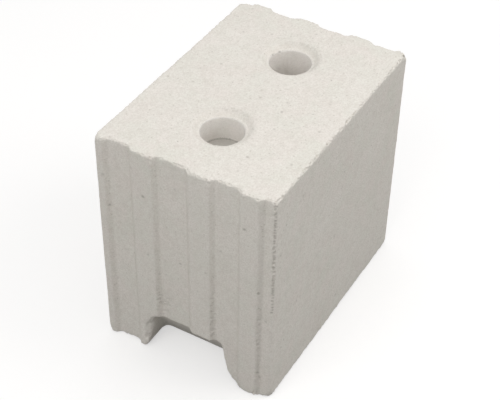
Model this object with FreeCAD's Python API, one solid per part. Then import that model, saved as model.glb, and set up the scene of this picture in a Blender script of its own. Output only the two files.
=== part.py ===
import FreeCAD, Part
import math
import os

# Calcium silicate building block, pressed in one piece and steam hardened.
# X runs along the length, Y across the wall, +Z up. The origin is the centre of the underside.
# All sizes are in millimetres.

# Body, measured over the tongues of both ends.
body_length = 252.0
body_width = 175.0
body_height = 238.0
corner_radius = 2.0

# Upright tongues of an end: the place of each, as a share of half the width, and its crest's width.
# The other end repeats them after half a turn about Z, so any two ends of such blocks interlock.
tongue_depth = 4.0
tongue_flank_run = 4.0
tongues = ((0.463, 20.0), (-0.183, 20.0), (-0.743, 17.0))
corner_land_width = 7.5
tongue_edge_radius = 1.0

# Two round holes in the top, each sunk in a shallow dish with a flat ring at its foot.
hole_spacing = 120.0
hole_diameter = 39.0
hole_depth_near = 27.0
hole_depth_far = 35.0
dish_depth = 3.7
dish_ring_width = 2.5
dish_slope_run = 4.0

# Grip pocket in the foot of each end: wide mouth, flat roof, and a back that slopes to the underside.
pocket_height = 47.0
pocket_depth = 35.0
pocket_roof_depth = 6.0
pocket_foot_width = 87.0
pocket_back_inset = 0.5
pocket_side_slope_degrees = 9.0
pocket_roof_radius = 8.5
pocket_foot_radius = 8.0
pocket_back_radius = 8.0

# How far a cutter reaches past the face that it opens.
cut_overrun = 5.0


def offset_point(start, towards, distance):
    direction = towards.sub(start)
    direction.normalize()
    return start + direction * distance


def rounded_wire(corners):
    """Closed wire through (point, radius) corners, with a tangent arc at each radius above zero."""
    edges = []
    ends = []
    count = len(corners)
    for index in range(count):
        point, radius = corners[index]
        before = corners[index - 1][0]
        after = corners[(index + 1) % count][0]
        if radius <= 0.0:
            ends.append((point, point))
            continue
        to_before = before.sub(point)
        to_after = after.sub(point)
        half_angle = to_before.getAngle(to_after) / 2.0
        run = radius / math.tan(half_angle)
        arc_start = offset_point(point, before, run)
        arc_end = offset_point(point, after, run)
        bisector = offset_point(point, (arc_start + arc_end) * 0.5, 1.0).sub(point)
        arc_middle = point + bisector * (radius / math.sin(half_angle) - radius)
        edges.append(Part.Arc(arc_start, arc_middle, arc_end).toShape())
        ends.append((arc_start, arc_end))
    for index in range(count):
        line_start = ends[index][1]
        line_end = ends[(index + 1) % count][0]
        edges.append(Part.LineSegment(line_start, line_end).toShape())
    return Part.Wire(Part.__sortEdges__(edges))


def end_outline(end_sign):
    """Corners of one end in plan, from its land corner to its plain corner."""
    crest_x = end_sign * body_length / 2.0
    root_x = end_sign * (body_length / 2.0 - tongue_depth)
    # The tongues are listed for the -X end, and the half turn changes the sign of their places.
    turn = -end_sign
    land_y = body_width / 2.0 - corner_land_width
    corners = [
        (FreeCAD.Vector(crest_x, turn * body_width / 2.0, 0.0), corner_radius),
        (FreeCAD.Vector(crest_x, turn * land_y, 0.0), tongue_edge_radius),
        (FreeCAD.Vector(root_x, turn * (land_y - tongue_flank_run), 0.0), tongue_edge_radius),
    ]
    for place, crest_width in tongues:
        centre = place * body_width / 2.0
        half_crest = crest_width / 2.0
        half_base = half_crest + tongue_flank_run
        for x, y in (
            (root_x, centre + half_base),
            (crest_x, centre + half_crest),
            (crest_x, centre - half_crest),
            (root_x, centre - half_base),
        ):
            corners.append((FreeCAD.Vector(x, turn * y, 0.0), tongue_edge_radius))
    corners.append((FreeCAD.Vector(root_x, -turn * body_width / 2.0, 0.0), corner_radius))
    return corners


def block_body():
    outline = rounded_wire(end_outline(-1.0) + end_outline(1.0))
    return Part.Face(outline).extrude(FreeCAD.Vector(0.0, 0.0, body_height))


def hole_cutter(depth):
    """Turned cutter about Z: dish, flat ring, and a straight hole with a flat floor."""
    hole_radius = hole_diameter / 2.0
    ring_radius = hole_radius + dish_ring_width
    dish_radius = ring_radius + dish_slope_run
    ring_z = body_height - dish_depth
    floor_z = body_height - depth
    profile = (
        (0.0, floor_z),
        (hole_radius, floor_z),
        (hole_radius, ring_z),
        (ring_radius, ring_z),
        (dish_radius, body_height),
        (dish_radius, body_height + cut_overrun),
        (0.0, body_height + cut_overrun),
        (0.0, floor_z),
    )
    wire = Part.makePolygon([FreeCAD.Vector(radius, 0.0, z) for radius, z in profile])
    return Part.Face(wire).revolve(FreeCAD.Vector(0, 0, 0), FreeCAD.Vector(0, 0, 1), 360.0)


def pocket_front_prism():
    """The pocket as seen from the end: sloped sides, rounded roof corners and a flared foot."""
    slope = math.tan(math.radians(pocket_side_slope_degrees))
    half_foot = pocket_foot_width / 2.0
    half_roof = half_foot - pocket_height * slope
    half_base = half_foot + 2.0 * pocket_foot_radius
    mouth_x = -body_length / 2.0 - cut_overrun
    one_side = [
        (-half_base, -cut_overrun, 0.0),
        (-half_base, 0.0, 0.0),
        (-half_foot, 0.0, pocket_foot_radius),
        (-half_roof, pocket_height, pocket_roof_radius),
    ]
    other_side = [(-y, z, radius) for y, z, radius in reversed(one_side)]
    corners = [(FreeCAD.Vector(mouth_x, y, z), radius) for y, z, radius in one_side + other_side]
    face = Part.Face(rounded_wire(corners))
    return face.extrude(FreeCAD.Vector(pocket_depth + 2.0 * cut_overrun, 0.0, 0.0))


def pocket_side_prism():
    """The pocket as cut along the block: flat roof, then the back that slopes to the underside."""
    face_x = -body_length / 2.0
    back_run_per_height = (pocket_depth - pocket_roof_depth) / pocket_height
    reach_y = body_width / 2.0 + cut_overrun
    profile = (
        (face_x - cut_overrun, -cut_overrun),
        (face_x + pocket_depth + cut_overrun * back_run_per_height, -cut_overrun),
        (face_x + pocket_roof_depth, pocket_height),
        (face_x - cut_overrun, pocket_height),
        (face_x - cut_overrun, -cut_overrun),
    )
    wire = Part.makePolygon([FreeCAD.Vector(x, -reach_y, z) for x, z in profile])
    return Part.Face(wire).extrude(FreeCAD.Vector(0.0, 2.0 * reach_y, 0.0))


def pocket_plan_prism():
    """The pocket in plan: it narrows inwards past its flared foot, and its back corners are round."""
    mouth_x = -body_length / 2.0 - cut_overrun
    back_x = -body_length / 2.0 + pocket_depth
    mouth_half = pocket_foot_width / 2.0 + pocket_foot_radius + cut_overrun / 2.0
    back_half = pocket_foot_width / 2.0 - pocket_back_inset
    corners = [
        (FreeCAD.Vector(mouth_x, -mouth_half, -cut_overrun), 0.0),
        (FreeCAD.Vector(back_x, -back_half, -cut_overrun), pocket_back_radius),
        (FreeCAD.Vector(back_x, back_half, -cut_overrun), pocket_back_radius),
        (FreeCAD.Vector(mouth_x, mouth_half, -cut_overrun), 0.0),
    ]
    face = Part.Face(rounded_wire(corners))
    return face.extrude(FreeCAD.Vector(0.0, 0.0, pocket_height + 2.0 * cut_overrun))


def pocket_cutter():
    """Grip pocket of the -X end: what its front, side and plan views have in common."""
    return pocket_front_prism().common(pocket_side_prism()).common(pocket_plan_prism())


def turned_to_other_end(shape):
    turned = shape.copy()
    turned.rotate(FreeCAD.Vector(0, 0, 0), FreeCAD.Vector(0, 0, 1), 180.0)
    return turned


def moved_along(shape, x):
    moved = shape.copy()
    moved.translate(FreeCAD.Vector(x, 0.0, 0.0))
    return moved


def block():
    pocket = pocket_cutter()
    cutters = [
        pocket,
        turned_to_other_end(pocket),
        moved_along(hole_cutter(hole_depth_near), -hole_spacing / 2.0),
        moved_along(hole_cutter(hole_depth_far), hole_spacing / 2.0),
    ]
    solid = block_body().cut(cutters)
    return solid.Solids[0]


os.makedirs("parts", exist_ok=True)
block().exportStep("parts/block.step")
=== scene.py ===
import math
import random

import bmesh
import bpy
import numpy as np
from mathutils import Matrix, Vector, kdtree, noise


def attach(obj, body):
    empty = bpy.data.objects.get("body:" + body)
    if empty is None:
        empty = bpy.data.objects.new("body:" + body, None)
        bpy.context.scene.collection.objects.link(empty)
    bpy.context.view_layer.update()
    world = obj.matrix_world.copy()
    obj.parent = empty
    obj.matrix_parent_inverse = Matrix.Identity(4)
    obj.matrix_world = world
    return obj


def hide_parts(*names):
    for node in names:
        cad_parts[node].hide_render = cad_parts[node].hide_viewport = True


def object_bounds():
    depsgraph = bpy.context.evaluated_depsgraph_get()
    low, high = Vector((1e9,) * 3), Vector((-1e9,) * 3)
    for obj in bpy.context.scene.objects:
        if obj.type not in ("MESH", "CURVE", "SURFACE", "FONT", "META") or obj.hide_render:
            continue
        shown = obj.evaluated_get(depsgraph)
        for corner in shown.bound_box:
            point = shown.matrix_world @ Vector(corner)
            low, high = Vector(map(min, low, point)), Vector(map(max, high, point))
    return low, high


mm = 0.001

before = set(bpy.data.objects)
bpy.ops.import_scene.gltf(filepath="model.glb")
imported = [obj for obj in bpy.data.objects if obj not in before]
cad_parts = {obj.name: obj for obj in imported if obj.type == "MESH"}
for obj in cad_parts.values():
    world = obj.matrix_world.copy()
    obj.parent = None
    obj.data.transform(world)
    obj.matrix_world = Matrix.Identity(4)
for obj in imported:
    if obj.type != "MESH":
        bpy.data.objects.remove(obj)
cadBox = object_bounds()
low, high = cadBox
print("frame loaded")


def hexToLinear(code):
    channels = [int(code[i:i + 2], 16) / 255.0 for i in (1, 3, 5)]
    linear = [c / 12.92 if c <= 0.04045 else ((c + 0.055) / 1.055) ** 2.4 for c in channels]
    return (*linear, 1.0)


def addNode(tree, kind, settings=None, **inputs):
    # settings are the node's own properties; inputs are socket values, or output sockets to link from
    node = tree.nodes.new(kind)
    for name, value in (settings or {}).items():
        setattr(node, name, value)
    for name, value in inputs.items():
        key = int(name[1:]) if name[1:].isdigit() else name.replace("_", " ")
        if isinstance(value, bpy.types.NodeSocket):
            tree.links.new(value, node.inputs[key])
        else:
            node.inputs[key].default_value = value
    return node


def mixColors(tree, factor, first, second, blend="MIX"):
    mix = addNode(tree, "ShaderNodeMix", {"data_type": "RGBA", "blend_type": blend}, i0=factor)
    for key, value in ((6, first), (7, second)):
        if isinstance(value, bpy.types.NodeSocket):
            tree.links.new(value, mix.inputs[key])
        else:
            mix.inputs[key].default_value = value
    return mix.outputs[2]


def newMaterial(name):
    material = bpy.data.materials.new(name)
    material.use_nodes = True
    material.node_tree.nodes.clear()
    return material, material.node_tree


def meshObject(name, mesh):
    piece = bpy.data.objects.new(name, mesh)
    bpy.context.scene.collection.objects.link(piece)
    return piece


def applyModifiers(piece):
    # bakes the live modifiers into the piece's own mesh
    graph = bpy.context.evaluated_depsgraph_get()
    baked = bpy.data.meshes.new_from_object(piece.evaluated_get(graph))
    piece.modifiers.clear()
    piece.data = baked


def readPoints(mesh):
    points = np.zeros(len(mesh.vertices) * 3)
    mesh.vertices.foreach_get("co", points)
    return points.reshape(-1, 3)


def readNormals(mesh):
    normals = np.zeros(len(mesh.vertices) * 3)
    mesh.vertices.foreach_get("normal", normals)
    return normals.reshape(-1, 3)


def writePoints(mesh, points):
    mesh.vertices.foreach_set("co", points.ravel())
    mesh.update()


def noiseAt(points, size, offset=0.0):
    # smooth noise from about -1 to 1, with blobs about as wide as size
    shift = Vector((offset, offset * 0.7, -offset * 1.3))
    return np.array([noise.noise(Vector(p) / size + shift) for p in points])


# The block: pressed shape with crumbled arrises, knocked corners, pores and a sandy skin

blockShape = {
    "voxel": 0.8 * mm,
    "roundPasses": 26,
    "mouldRound": 0.25,         # share of the full rounding on the upright edges, which slide in the mould
    "pressRound": 0.42,         # on the edges of the top and the underside
    "hollowRound": 0.15,        # in inside corners
    "dishRound": 0.9,           # on the slope of the dish round each hole
    "roundVariation": 0.4,
    "rimRound": 0.3,            # on the rims of the holes
    "mostRound": 1.6,           # no edge is rounded more than this
    "variationSize": 14.0 * mm,
    "holeVariation": 0.3,       # how much of the variation the dishes and holes show
    "smoothFactor": 0.5,
    "edgeReach": 0.8 * mm,      # a point that rounding moves this far is on the arris
    "edgeFrom": 0.02,           # share of that reach below which a point is left sound
    "crumble": ((4.6 * mm, 2.2 * mm), (1.9 * mm, 3.4 * mm)),    # blob size and depth of the loose sand
    "crumbleBias": 0.1,
    "mouldCrumble": 0.22,       # how much of it the upright edges show
    "frontCrumble": 1.45,       # the long top edge at the front is the roughest
    "backCrumble": 0.5,         # the top edges of the far end and of the hidden long side are crisper
    "dishCrumble": 0.12,
    "boreCrumble": 0.15,
    "arrisBand": 9.0 * mm,      # width of the top edges along the long sides
    "farEndBand": 13.0 * mm,    # and along the far end, past its tongues
    "chipSize": 10.0 * mm,
    "chipDepth": 3.4 * mm,
    "chipFrom": 0.2,            # noise above this breaks the arris away
    "pressBand": 6.0 * mm,      # reach of the pressed edges below the top and above the underside
    "pressFade": 1.6,           # they count in full to 0.6 of the band, and not at all past 1.6 of it
    "waveSize": 60.0 * mm,
    "waveDepth": 0.15 * mm,
    "triangles": 192000,
    "seed": 61,
}

# Where each pattern of wear reads the noise, so that no two of them line up.
noisePlaces = {"variation": 3.1, "crumble": 7.7, "chips": 12.9, "wave": 5.5}

tongueDepth = 4.0 * mm
holeCentres = (-60.0 * mm, 60.0 * mm)       # along the block
holeFloors = (211.0 * mm, 203.0 * mm)       # heights of their floors
dishSize = {"rim": 22.4 * mm, "outer": 31.0 * mm, "depth": 5.5 * mm, "boreReach": 60.0 * mm}

# The slope of each dish is open and sandy on the side towards the far end, and is darkened there with
# painted shade where it faces away from the light. Sizes are in mm, turns in degrees from the length of the
# block.
dishSlopePoresAndPaintedShade = {
    "radius": 26.8,             # middle of the slope
    "half": 2.6,                # half its width
    # painted shade on that side of the slope
    "shade": 0.10,
    "turn": -20.0,
    "spread": 38.0,
    "across": 0.6,              # spread of the pores across the slope, as a share of half its width
    "count": 34,
    "poreRadius": 0.9,
    "poreDepth": (0.2, 0.5),
    "poreShade": (0.08, 0.25),
}

# Knocked corners: the corner in mm, the way its three edges leave it, how far along each the break
# runs in mm, and the reach round it in mm.
cornerBreaks = [
    ((-126.0, 87.5, 238.0), (1, -1, -1), (5.0, 6.0, 4.5), 20.0),
    ((-122.0, -87.5, 238.0), (1, 1, -1), (4.0, 5.0, 3.5), 20.0),
    ((-122.0, -87.5, 0.0), (1, 1, 1), (5.5, 6.0, 7.0), 20.0),
    ((-126.0, 87.5, 0.0), (1, -1, 1), (4.0, 5.0, 6.0), 20.0),
    ((-122.0, -43.5, 0.0), (1, -1, 1), (10.0, 8.0, 11.0), 17.0),
    ((-122.0, -43.5, 0.0), (1, -1, 1), (14.0, 17.0, 4.5), 19.0),
    ((-126.0, 43.0, 0.0), (1, 1, 1), (5.0, 4.0, 5.0), 11.0),
    ((-126.0, 39.5, 22.0), (1, 1, 1), (6.0, 5.5, 900.0), 15.0),
    ((122.0, -87.5, 238.0), (-1, 1, -1), (3.0, 3.0, 2.5), 20.0),
    ((122.0, 87.5, 238.0), (-1, -1, -1), (5.0, 7.0, 4.0), 20.0),
    ((122.0, -87.5, 0.0), (-1, 1, 1), (3.0, 3.5, 3.5), 20.0),
    ((122.0, 87.5, 0.0), (-1, -1, 1), (8.0, 8.0, 6.0), 20.0),
]

# Open pores that are seen one by one: place in mm, radius and depth in mm, and how dark they are painted, a
# painted shade that stands in for the shade inside them.
knownPores = [
    ((-122.0, 39.5, 190.7), 1.5, 1.1, 1.0),
    ((-122.0, -60.1, 199.3), 1.5, 1.2, 1.0),
    ((-122.0, -71.9, 132.6), 1.3, 1.1, 1.0),
    ((-122.0, 78.5, 162.6), 1.2, 0.8, 0.7),
    ((-122.0, 6.0, 125.0), 1.2, 0.8, 0.7),
    ((-122.0, -73.5, 31.0), 1.3, 0.9, 0.8),
    ((87.0, 34.5, 238.0), 1.0, 0.8, 0.6),
    ((108.5, -0.8, 238.0), 1.0, 0.8, 0.6),
    ((-14.8, -32.6, 238.0), 1.1, 0.9, 0.8),
    ((-83.9, -37.9, 238.0), 1.1, 0.9, 0.8),
    ((-21.0, 80.0, 238.0), 1.3, 0.7, 0.4),
    ((-16.0, 57.5, 238.0), 1.2, 0.7, 0.4),
    ((-6.0, -6.0, 238.0), 1.3, 0.8, 0.45),
    ((-73.0, -74.0, 238.0), 1.3, 0.7, 0.4),
    ((-23.0, -73.0, 238.0), 1.3, 0.7, 0.45),
    ((70.1, 16.4, 234.0), 1.3, 0.9, 1.0),
    ((63.0, 19.3, 234.0), 1.1, 0.8, 0.9),
]

# Pores all over: radius and depth in mm, the painted shade of the largest, which stands in for the
# shade inside it, and the share of it that the smallest has.
poreScatter = {"count": 300, "radius": (0.8, 1.4), "depth": (0.15, 0.55), "shade": 0.42, "least": 0.25}

# A dotted line of pores where the mould's seam ran down the front edge, in mm.
seamPores = {
    "from": 112.0,
    "to": 232.0,
    "step": 2.9,
    "stepShare": (0.6, 1.4),
    "radius": 1.2,
    "depth": 1.4,
    "depthShare": (0.6, 1.2),
    "inset": 1.2,
    "insetShare": (-0.2, 1.0),
    "shade": (0.7, 1.0),
}

# Rims that handling has worn further: middle and reach in mm, the share of full rounding added, and
# how much has broken away in mm.
wornRims = [
    ((-126.0, 38.0, 38.0), 12.0, 0.8, 1.2),
    ((-124.0, -40.0, 8.0), 12.0, 0.5, 0.8),
    ((126.0, -38.0, 36.0), 11.0, 0.7, 1.8),
]

# Duller spots, some under-pressed and some painted shade: middle and half sizes in mm, the number of
# pores and the shade. Most are flanks of the tongues, which the mould dragged open towards the foot and
# which also carry painted shade where less light falls on them.
porousSpotsAndPaintedShade = [
    ((-122.0, 24.0, 66.0), (3.0, 9.0, 17.0), 34, 0.06),
    # partly painted shade: bands on the flanks that face the front, darker where less light falls, with
    # pores the mould dragged open
    ((-124.0, 78.0, 80.0), (3.0, 2.4, 75.0), 8, 0.04),
    ((-124.0, 28.5, 85.0), (3.0, 2.4, 60.0), 22, 0.08),
    ((-124.0, -28.0, 62.0), (3.0, 2.5, 62.0), 40, 0.15),
    ((-124.0, -75.5, 66.0), (3.0, 2.5, 88.0), 36, 0.12),
    # painted shade: thin dark lines on the flanks that face the other way, in the creases of the tongues
    ((-124.0, 52.5, 110.0), (3.0, 1.5, 130.0), 0, 0.09),
    ((-124.0, -4.0, 120.0), (3.0, 1.5, 130.0), 0, 0.09),
    ((-124.0, -54.5, 120.0), (3.0, 1.5, 130.0), 0, 0.07),
    # painted shade at the back of the near pocket, where shade falls; the far pocket has none
    ((-96.0, 20.0, 16.0), (16.0, 32.0, 22.0), 0, 0.2),
    # partly painted shade: the flank band of the far end, with pores
    ((124.0, 28.0, 60.0), (3.0, 2.6, 60.0), 34, 0.15),
    ((124.0, -40.5, 80.0), (3.0, 9.0, 60.0), 16, 0.05),
]


# Broken faces of the corners: blob size and depth in mm, and the place in the noise.
cornerRough = ((5.0, 1.1, 21.0), (2.2, 0.5, 4.0))
cornerFade = 5.0 * mm           # a break runs out over this much of its reach
cornerMargin = 2.0 * mm         # how far inside the break's plane its roughness is felt

# Fall of a pore from its middle: how many radii it is felt over, and how steeply.
poreFall = {"cutReach": 1.6, "cutSteep": 1.8, "paintReach": 1.7, "paintSteep": 1.6, "spotSteep": 1.2}

# Ranges for the pores of the duller spots, in mm, and their painted shade.
spotPores = {"spread": 0.45, "radius": (0.8, 1.3), "depth": (0.3, 0.8), "shade": (0.05, 0.28)}

# The pressed floors and walls of the holes: the floors are darker all over and darker still, as painted
# shade, where they meet the wall; the walls get a painted paler, more neutral tone that stands in for the
# light inside them.
holePaintedShadeAndLight = {
    "above": 0.15,                  # nothing below this height in metres belongs to a hole
    "floorRadius": 19.8 * mm,
    "floorRise": 0.8 * mm,
    "floorShade": 0.34,
    "cornerRadius": 18.2 * mm,      # where the floor meets the wall
    "cornerRise": 0.35 * mm,
    "cornerShade": 0.3,
    "wallRadius": 20.6 * mm,
    "wallTop": 4.2 * mm,            # how far below the top of the block the wall starts
}


def remeshedCopy(node):
    # the CAD mesh is loose triangles, so the copy is merged before it is remeshed
    mesh = node.data.copy()
    mesh.materials.clear()
    bm = bmesh.new()
    bm.from_mesh(mesh)
    bmesh.ops.remove_doubles(bm, verts=bm.verts, dist=0.001 * mm)
    bm.to_mesh(mesh)
    bm.free()
    piece = meshObject("calciumSilicateBlock", mesh)
    remesh = piece.modifiers.new("remesh", "REMESH")
    remesh.mode = "VOXEL"
    remesh.voxel_size = blockShape["voxel"]
    applyModifiers(piece)
    return piece


def breakCorners(points):
    for spot, signs, run, reach in cornerBreaks:
        corner = np.array(spot) * mm
        outward = -np.array(signs, dtype=float) / np.array(run)
        outward /= np.linalg.norm(outward)
        # the break cuts the first edge of the corner at its run length
        start = corner + np.array((signs[0] * run[0] * mm, 0.0, 0.0))
        away = np.linalg.norm(points - corner, axis=1)
        over = (points - start) @ outward
        hit = np.nonzero((away < reach * mm) & (over > -cornerMargin))[0]
        rough = sum(noiseAt(points[hit], size * mm, place) * depth * mm
                    for size, depth, place in cornerRough)
        fade = np.clip((reach * mm - away[hit]) / cornerFade, 0.0, 1.0)
        depth = np.clip(over[hit] + rough, 0.0, None) * fade
        points[hit] -= depth[:, None] * outward
    return points


def roundedOffsets(piece):
    # how far each point moves when every edge is rounded off as far as it goes
    before = readPoints(piece.data)
    copy = meshObject("roundedCopy", piece.data.copy())
    smooth = copy.modifiers.new("smooth", "SMOOTH")
    smooth.factor = blockShape["smoothFactor"]
    smooth.iterations = blockShape["roundPasses"]
    applyModifiers(copy)
    offsets = readPoints(copy.data) - before
    bpy.data.objects.remove(copy)
    return offsets


def distanceFromHoles(points):
    return np.min([np.hypot(points[:, 0] - x, points[:, 1]) for x in holeCentres], axis=0)


def wearArrises(points, normals, offsets):
    s = blockShape
    reach = np.linalg.norm(offsets, axis=1)
    inward = offsets / np.maximum(reach, 1e-9)[:, None]
    edge = np.clip(reach / s["edgeReach"], 0.0, 1.0)
    convex = np.einsum("ij,ij->i", offsets, normals) < 0.0
    fromTop = high.z - points[:, 2]
    fromFoot = points[:, 2] - low.z
    pressed = np.clip(s["pressFade"] - np.minimum(fromTop, fromFoot) / s["pressBand"], 0.0, 1.0)
    share = s["mouldRound"] + (s["pressRound"] - s["mouldRound"]) * pressed
    fromHole = distanceFromHoles(points)
    inDish = (fromHole < dishSize["outer"]) & (fromTop < dishSize["depth"])
    atBore = (fromHole < dishSize["rim"]) & (fromTop < dishSize["boreReach"])
    share = np.where(convex, share, s["hollowRound"])
    share = np.where(inDish, s["dishRound"], share)
    share = np.where(atBore, np.where(convex, s["rimRound"], 0.0), share)
    broken = np.zeros(len(points))
    for middle, spread, extra, depth in wornRims:
        away = np.linalg.norm(points - np.array(middle) * mm, axis=1) / (spread * mm)
        share = share + extra * np.exp(-away ** 2) * convex
        broken += depth * mm * np.exp(-away ** 2)
    near = np.nonzero(edge > s["edgeFrom"])[0]
    variation = np.zeros(len(points))
    patches = noiseAt(points[near], s["variationSize"], noisePlaces["variation"])
    variation[near] = patches * s["roundVariation"]
    variation[inDish | atBore] *= s["holeVariation"]
    roughness = s["mouldCrumble"] + (1.0 - s["mouldCrumble"]) * pressed
    atTop = fromTop < s["arrisBand"]
    front = (points[:, 1] < low.y + s["arrisBand"]) & atTop
    roughness = np.where(front, roughness * s["frontCrumble"], roughness)
    farEnd = (points[:, 0] > high.x - s["farEndBand"]) & atTop
    back = (points[:, 1] > high.y - s["arrisBand"]) & atTop
    roughness = np.where((farEnd | back) & ~front, roughness * s["backCrumble"], roughness)
    roughness = np.where(inDish, s["dishCrumble"], roughness)
    roughness = np.where(atBore, s["boreCrumble"], roughness)
    loss = np.zeros(len(points))
    for size, depth in s["crumble"]:
        grains = noiseAt(points[near], size, noisePlaces["crumble"])
        loss[near] += np.clip(grains + s["crumbleBias"], 0.0, 1.0) * depth
    chips = noiseAt(points[near], s["chipSize"], noisePlaces["chips"])
    loss[near] += np.clip(chips - s["chipFrom"], 0.0, 1.0) * s["chipDepth"]
    moved = points + offsets * np.clip(share + variation, 0.0, s["mostRound"])[:, None]
    return moved + inward * ((loss * roughness + broken) * edge * convex)[:, None]


def listPores(points, tree):
    # every pore as its place, radius, depth and darkness
    dice = random.Random(blockShape["seed"])
    pores = [(tree.find(Vector(place) * mm)[0], radius * mm, depth * mm, shade)
             for place, radius, depth, shade in knownPores]
    (smallRadius, largeRadius), (smallDepth, largeDepth) = poreScatter["radius"], poreScatter["depth"]
    least = poreScatter["least"]
    for _ in range(poreScatter["count"]):
        place = Vector(points[dice.randrange(len(points))])
        size = dice.uniform(0.0, 1.0) ** 2          # most pores are small
        radius = smallRadius + (largeRadius - smallRadius) * size
        depth = smallDepth + (largeDepth - smallDepth) * size
        shade = poreScatter["shade"] * (least + (1.0 - least) * size)
        pores.append((place, radius * mm, depth * mm, shade))
    height = seamPores["from"]
    while height < seamPores["to"]:
        inset = seamPores["inset"] * dice.uniform(*seamPores["insetShare"]) * mm
        place = tree.find(Vector((low.x + tongueDepth, low.y + inset, height * mm)))[0]
        depth = seamPores["depth"] * dice.uniform(*seamPores["depthShare"]) * mm
        pores.append((place, seamPores["radius"] * mm, depth, dice.uniform(*seamPores["shade"])))
        height += seamPores["step"] * dice.uniform(*seamPores["stepShare"])
    for middle, half, count, _ in porousSpotsAndPaintedShade:
        for _ in range(count):
            spread = spotPores["spread"]
            place = Vector([(middle[i] + half[i] * dice.gauss(0.0, spread)) * mm for i in range(3)])
            place = tree.find(place)[0]
            radius = dice.uniform(*spotPores["radius"]) * mm
            depth = dice.uniform(*spotPores["depth"]) * mm
            pores.append((place, radius, depth, dice.uniform(*spotPores["shade"])))
    slope = dishSlopePoresAndPaintedShade
    for centre in holeCentres:
        for _ in range(slope["count"]):
            turn = math.radians(slope["turn"] + dice.gauss(0.0, slope["spread"]))
            away = (slope["radius"] + dice.gauss(0.0, slope["across"]) * slope["half"]) * mm
            place = Vector((centre + away * math.cos(turn), away * math.sin(turn), high.z))
            place = tree.find(place)[0]
            depth = dice.uniform(*slope["poreDepth"]) * mm
            pores.append((place, slope["poreRadius"] * mm, depth, dice.uniform(*slope["poreShade"])))
    return pores


def pointTree(points):
    tree = kdtree.KDTree(len(points))
    for index, point in enumerate(points):
        tree.insert(point, index)
    tree.balance()
    return tree


def openPores(points, normals, pores, tree):
    for place, radius, depth, _ in pores:
        for _, index, distance in tree.find_range(place, radius * poreFall["cutReach"]):
            fall = math.exp(-(distance / radius) ** 2 * poreFall["cutSteep"])
            points[index] -= normals[index] * depth * fall
    return points


def paintPores(mesh, pores):
    # the piece's own attribute of pores and painted shade: 1 in the middle of a dark pore, where painted
    # shade stands in for the shade inside it, 0 on sound stone
    points = readPoints(mesh)
    tree = pointTree(points)
    poreAndPaintedShade = np.zeros(len(points))
    for place, radius, _, shade in pores:
        for _, index, distance in tree.find_range(place, radius * poreFall["paintReach"]):
            fall = shade * math.exp(-(distance / radius) ** 2 * poreFall["paintSteep"])
            poreAndPaintedShade[index] = max(poreAndPaintedShade[index], fall)
    # painted shade on the tongue flanks and at the back of the near pocket, along with the dull patches
    for middle, half, _, shade in porousSpotsAndPaintedShade:
        spread = (points - np.array(middle) * mm) / (np.array(half) * mm)
        poreAndPaintedShade += shade * np.exp(-np.einsum("ij,ij->i", spread, spread) * poreFall["spotSteep"])
    # painted shade on the side of each dish slope that faces away from the light
    for centre in holeCentres:
        turn = np.arctan2(points[:, 1], points[:, 0] - centre) - math.radians(dishSlopePoresAndPaintedShade["turn"])
        away = np.hypot(points[:, 0] - centre, points[:, 1]) / mm
        across = (away - dishSlopePoresAndPaintedShade["radius"]) / dishSlopePoresAndPaintedShade["half"]
        slope = np.clip(np.cos(turn), 0.0, 1.0) * np.exp(-across ** 2)
        poreAndPaintedShade += dishSlopePoresAndPaintedShade["shade"] * slope * (high.z - points[:, 2] < dishSize["depth"])
    # the pressed floors of the holes are darker all over, and painted shade darkens them most where they
    # meet the wall
    hole = holePaintedShadeAndLight
    inHole = points[:, 2] > hole["above"]
    fromHole = distanceFromHoles(points)
    floorHeight = np.where(points[:, 0] < 0.0, holeFloors[0], holeFloors[1])
    onFloor = (fromHole < hole["floorRadius"]) & (points[:, 2] < floorHeight + hole["floorRise"]) & inHole
    atCorner = (fromHole > hole["cornerRadius"]) & (points[:, 2] < floorHeight + hole["cornerRise"])
    poreAndPaintedShade = np.where(onFloor, poreAndPaintedShade + hole["floorShade"] + hole["cornerShade"] * atCorner, poreAndPaintedShade)
    layer = mesh.attributes.new("poreAndPaintedShade", "FLOAT", "POINT")
    layer.data.foreach_set("value", np.clip(poreAndPaintedShade, 0.0, 1.0))
    # and its attribute of painted light on the bores: 1 on the walls of the holes, which are painted a
    # paler, more neutral tone that stands in for the light inside them
    onWall = (fromHole < hole["wallRadius"]) & (points[:, 2] < high.z - hole["wallTop"]) & inHole
    layer = mesh.attributes.new("borePaintedLight", "FLOAT", "POINT")
    layer.data.foreach_set("value", onWall.astype(float))


def buildBlock():
    piece = remeshedCopy(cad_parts["block"])
    print("block remeshed,", len(piece.data.polygons), "faces")
    writePoints(piece.data, breakCorners(readPoints(piece.data)))
    points = readPoints(piece.data)
    normals = readNormals(piece.data)
    points = wearArrises(points, normals, roundedOffsets(piece))
    print("arrises worn")
    tree = pointTree(points)
    pores = listPores(points, tree)
    points = openPores(points, normals, pores, tree)
    wave = noiseAt(points, blockShape["waveSize"], noisePlaces["wave"]) * blockShape["waveDepth"]
    points += normals * (wave - blockShape["waveDepth"] * 0.5)[:, None]
    writePoints(piece.data, points)
    print("pores opened,", len(pores))
    thin = piece.modifiers.new("thin", "DECIMATE")
    thin.ratio = blockShape["triangles"] / (2.0 * len(piece.data.polygons))
    applyModifiers(piece)
    # thinning may lift a point off a face, so the points are held in the block's own box
    points = np.clip(readPoints(piece.data), np.array(low), np.array(high))
    writePoints(piece.data, points)
    for polygon in piece.data.polygons:
        polygon.use_smooth = True
    paintPores(piece.data, pores)
    print("block finished,", len(piece.data.polygons), "triangles")
    return piece


# Calcium silicate: quartz sand bound with lime, pressed and steam hardened

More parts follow.
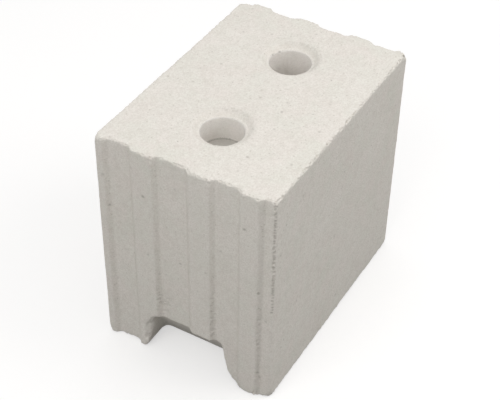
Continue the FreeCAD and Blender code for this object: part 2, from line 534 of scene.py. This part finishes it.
def calciumSilicate():
    # Dry and dead matt, off-white with a sandy mottle; dark sand grains show as specks, and open pores show
    # as specks of painted shade.
    looks = {
        "pale": "#EEEAE3",
        "warm": "#EBE5DE",
        "cool": "#E7E5DC",
        "shade": "#CDC6BC",
        "faintSpeck": "#B3ACA0",
        "darkSpeck": "#837C72",
        # the colour of the pores and of the painted shade
        "poreAndPaintedShade": "#6F695F",
        # painted light: the paler, more neutral tone of the walls of the holes
        "borePaintedLightTone": "#ECE9E8",
        "roughness": 0.93,
        "ior": 1.5,
        "grainMm": 1.5,             # the sand is finer than this; drawn coarser so that it shows
        "mottleMm": 5.0,
        "tintMm": 22.0,
        "cloudMm": 75.0,
        "faintSpeckMm": 4.0,
        "darkSpeckMm": 12.0,
        # each pattern: noise detail, where it starts and is full, and its strength there
        "tint": (2.0, 0.38, 0.62, 1.0),
        "cloud": (2.0, 0.35, 0.7, 0.7),
        "mottle": (3.0, 0.45, 0.75, 0.3),
        "grain": (3.0, 0.35, 0.72, 1.0),
        "grainRoughness": 0.7,
        "grainShare": 0.62,
        # each kind of speck: the share of cells with one, its radius in mm and its strength
        "faintSpecks": (0.42, 0.95, 0.38),
        "darkSpecks": (0.12, 0.8, 0.5),
        "borePaintedLightShare": 0.35,
        "specular": 0.3,
        "bumpMm": 0.3,
        "bumpStrength": 0.8,
    }
    material, tree = newMaterial("calciumSilicate")
    place = addNode(tree, "ShaderNodeTexCoord").outputs["Object"]
    tones = {key: hexToLinear(value) for key, value in looks.items() if str(value).startswith("#")}

    def pattern(sizeMm, detail, fromValue, toValue, strength, roughness=0.55):
        texture = addNode(tree, "ShaderNodeTexNoise", Vector=place, Scale=1.0 / (sizeMm * mm),
                          Detail=detail, Roughness=roughness)
        return addNode(tree, "ShaderNodeMapRange", Value=texture.outputs[0], i1=fromValue,
                       i2=toValue, i3=0.0, i4=strength).outputs[0]

    def specks(sizeMm, share, radiusMm, strength):
        # one possible dot in each cell; a share of the cells has one
        cells = addNode(tree, "ShaderNodeTexVoronoi", {"feature": "F1"}, Vector=place,
                        Scale=1.0 / (sizeMm * mm))
        chance = addNode(tree, "ShaderNodeSeparateColor", i0=cells.outputs["Color"]).outputs[0]
        chosen = addNode(tree, "ShaderNodeMath", {"operation": "LESS_THAN"}, i0=chance, i1=share)
        edge = radiusMm / sizeMm
        dot = addNode(tree, "ShaderNodeMapRange", Value=cells.outputs["Distance"], i1=edge * 0.5,
                      i2=edge, i3=strength, i4=0.0)
        return addNode(tree, "ShaderNodeMath", {"operation": "MULTIPLY"}, i0=chosen.outputs[0],
                       i1=dot.outputs[0]).outputs[0]

    color = mixColors(tree, pattern(looks["tintMm"], *looks["tint"]), tones["warm"], tones["cool"])
    color = mixColors(tree, pattern(looks["cloudMm"], *looks["cloud"]), color, tones["pale"])
    color = mixColors(tree, pattern(looks["mottleMm"], *looks["mottle"]), color, tones["shade"])
    grain = pattern(looks["grainMm"], *looks["grain"], looks["grainRoughness"])
    grainShare = addNode(tree, "ShaderNodeMath", {"operation": "MULTIPLY"}, i0=grain, i1=looks["grainShare"])
    color = mixColors(tree, grainShare.outputs[0], color, tones["shade"])
    faint = specks(looks["faintSpeckMm"], *looks["faintSpecks"])
    color = mixColors(tree, faint, color, tones["faintSpeck"])
    dark = specks(looks["darkSpeckMm"], *looks["darkSpecks"])
    color = mixColors(tree, dark, color, tones["darkSpeck"])
    # painted light: a paler, more neutral tone on the walls of the holes in place of how they are lit
    borePaintedLight = addNode(tree, "ShaderNodeAttribute", {"attribute_name": "borePaintedLight"}).outputs["Fac"]
    borePaintedLightShare = addNode(tree, "ShaderNodeMath", {"operation": "MULTIPLY"}, i0=borePaintedLight,
                        i1=looks["borePaintedLightShare"])
    color = mixColors(tree, borePaintedLightShare.outputs[0], color, tones["borePaintedLightTone"])
    # painted shade from the attribute of pores and painted shade: in the pores, on the tongue flanks, at the
    # back of the near pocket and on the far side of each dish slope, as well as the darker hole floors
    poreAndPaintedShade = addNode(tree, "ShaderNodeAttribute", {"attribute_name": "poreAndPaintedShade"}).outputs["Fac"]
    color = mixColors(tree, poreAndPaintedShade, color, tones["poreAndPaintedShade"])
    bump = addNode(tree, "ShaderNodeBump", Height=grain, Strength=looks["bumpStrength"],
                   Distance=looks["bumpMm"] * mm)
    shader = addNode(tree, "ShaderNodeBsdfPrincipled", Base_Color=color, Roughness=looks["roughness"],
                     IOR=looks["ior"], Normal=bump.outputs[0])
    shader.inputs["Specular IOR Level"].default_value = looks["specular"]
    addNode(tree, "ShaderNodeOutputMaterial", Surface=shader.outputs[0])
    return material


# The studio: pale floor, white surround, soft lamps and the camera

studio = {
    "floorSize": 8.0,
    "floorColor": "#C4C3C2",        # the part of the floor's look that takes the shadow
    "floorGlow": 0.50,              # and the even white added to it, seen by the eye only
    "bounceColor": "#797876",       # the floor as it lights the block
    "worldLight": 0.62,
}

# Soft boxes all round: compass turn from the front end towards the hidden long side, height angle,
# distance and size in metres, and watts.
lamps = {
    "endBox": {"turn": 2.0, "rise": 43.0, "away": 1.3, "size": 0.8, "watts": 4.6},
    "sideBox": {"turn": -114.0, "rise": 43.0, "away": 1.3, "size": 0.8, "watts": 5.0},
    "backBox": {"turn": 120.0, "rise": 50.0, "away": 1.3, "size": 0.9, "watts": 0.9},
    "farEndBox": {"turn": 172.0, "rise": 46.0, "away": 1.3, "size": 0.9, "watts": 0.9},
}

lampAim = (0.0, 0.0, 0.12)          # the middle of the block

cameraPlace = {
    "location": (-0.7693, -0.4275, 0.8744),
    "aim": (-0.0056, 0.0025, 0.1148),
    "rollDegrees": 1.14,
    "lens": 88.4,
    "sensor": 36.0,
}


def seenByEye(tree):
    # 1 for rays from the eye, also where they come by way of a reflection or through glass
    path = addNode(tree, "ShaderNodeLightPath")
    first = addNode(tree, "ShaderNodeMath", {"operation": "MAXIMUM"},
                    i0=path.outputs["Is Camera Ray"], i1=path.outputs["Is Glossy Ray"])
    both = addNode(tree, "ShaderNodeMath", {"operation": "MAXIMUM"},
                   i0=first.outputs[0], i1=path.outputs["Is Transmission Ray"])
    return both.outputs[0]


def buildFloor():
    bm = bmesh.new()
    bmesh.ops.create_grid(bm, x_segments=1, y_segments=1, size=studio["floorSize"] / 2.0)
    bmesh.ops.translate(bm, verts=bm.verts, vec=(0.0, 0.0, low.z))
    mesh = bpy.data.meshes.new("floor")
    bm.to_mesh(mesh)
    bm.free()
    floor = meshObject("floor", mesh)
    material, tree = newMaterial("paintedFloor")
    eye = seenByEye(tree)
    color = mixColors(tree, eye, hexToLinear(studio["bounceColor"]), hexToLinear(studio["floorColor"]))
    shader = addNode(tree, "ShaderNodeBsdfDiffuse", Color=color)
    glow = addNode(tree, "ShaderNodeEmission", Color=(1.0, 1.0, 1.0, 1.0),
                   Strength=addNode(tree, "ShaderNodeMath", {"operation": "MULTIPLY"}, i0=eye,
                                    i1=studio["floorGlow"]).outputs[0])
    both = addNode(tree, "ShaderNodeAddShader", i0=shader.outputs[0], i1=glow.outputs[0])
    addNode(tree, "ShaderNodeOutputMaterial", Surface=both.outputs[0])
    mesh.materials.append(material)


def buildWorld():
    world = bpy.data.worlds.new("whiteSurround")
    world.use_nodes = True
    tree = world.node_tree
    tree.nodes.clear()
    strength = addNode(tree, "ShaderNodeMapRange", Value=seenByEye(tree), i3=studio["worldLight"],
                       i4=1.0)
    back = addNode(tree, "ShaderNodeBackground", Color=(1.0, 1.0, 1.0, 1.0),
                   Strength=strength.outputs[0])
    addNode(tree, "ShaderNodeOutputWorld", Surface=back.outputs[0])
    bpy.context.scene.world = world


def aimed(location, aim, rollDegrees=0.0):
    # a lamp or camera looks along its own -Z
    forward = (Vector(aim) - Vector(location)).normalized()
    level = forward.cross(Vector((0.0, 0.0, 1.0))).normalized()
    upright = level.cross(forward)
    roll = math.radians(rollDegrees)
    right = level * math.cos(roll) + upright * math.sin(roll)
    up = right.cross(forward)
    turn = Matrix((right, up, -forward)).transposed().to_4x4()
    return Matrix.Translation(location) @ turn


def buildLamps():
    aim = Vector(lampAim)
    for name, lamp in lamps.items():
        turn, rise = math.radians(lamp["turn"]), math.radians(lamp["rise"])
        away = Vector((-math.cos(turn) * math.cos(rise), math.sin(turn) * math.cos(rise), math.sin(rise)))
        data = bpy.data.lights.new(name, "AREA")
        data.shape = "SQUARE"
        data.size = lamp["size"]
        data.energy = lamp["watts"]
        holder = bpy.data.objects.new(name, data)
        holder.matrix_world = aimed(aim + away * lamp["away"], aim)
        bpy.context.scene.collection.objects.link(holder)


def buildCamera():
    data = bpy.data.cameras.new("camera")
    data.sensor_width = cameraPlace["sensor"]
    data.lens = cameraPlace["lens"]
    camera = bpy.data.objects.new("camera", data)
    camera.matrix_world = aimed(cameraPlace["location"], cameraPlace["aim"], cameraPlace["rollDegrees"])
    bpy.context.scene.collection.objects.link(camera)
    bpy.context.scene.camera = camera


block = buildBlock()
block.data.materials.append(calciumSilicate())
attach(block, "root")
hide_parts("block")
print("material made")

buildFloor()
buildWorld()
buildLamps()
buildCamera()
bpy.context.scene.view_settings.view_transform = "Standard"
print("studio made")
